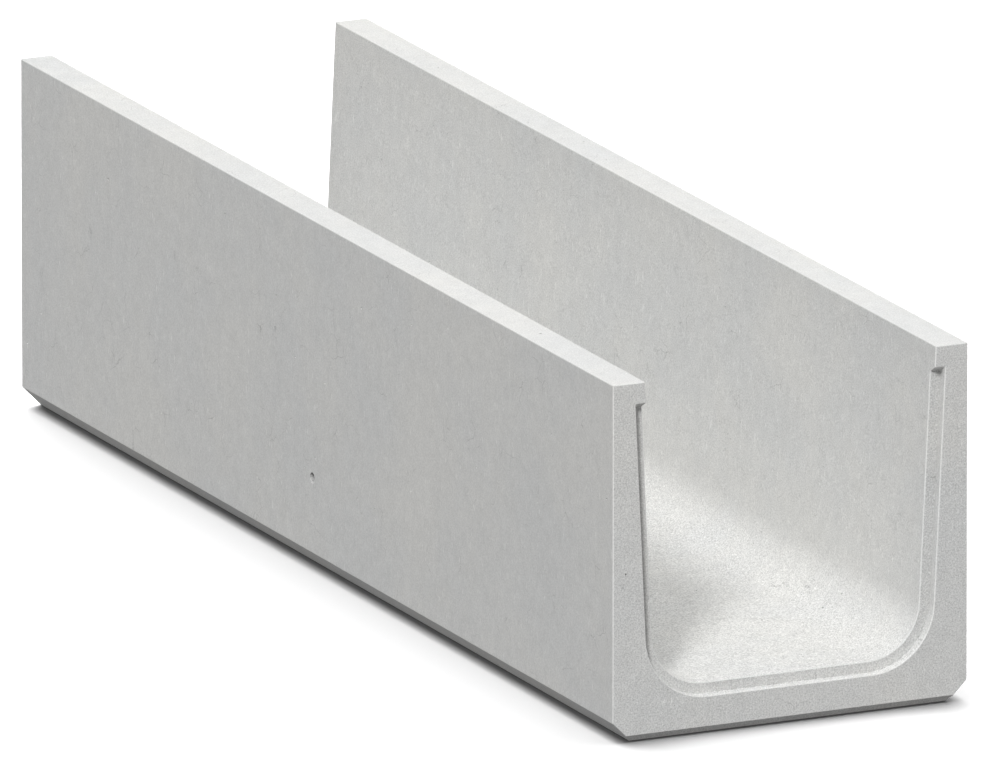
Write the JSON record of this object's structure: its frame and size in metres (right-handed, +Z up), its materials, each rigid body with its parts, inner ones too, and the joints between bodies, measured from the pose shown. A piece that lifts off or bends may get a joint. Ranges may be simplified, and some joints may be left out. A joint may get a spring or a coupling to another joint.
{
  "type": "channel drain",
  "caption": "Precast concrete U channel for linear drainage, open on top and at both ends, with a seal rebate round one end and bevelled lower edges.",
  "frame": {"origin": "middle of the underside, on the surface that the channel stands on", "axes": "+Y along the channel towards the plain end, +Z up, +X across the channel to the right when looking along +Y"},
  "size_m": [0.275, 1, 0.26],
  "materials": {
    "concrete": "matt, smooth from the mould, with fine pores"
  },
  "bodies": {
    "root": {"channel_body": "concrete"}
  },
  "joints": []
}
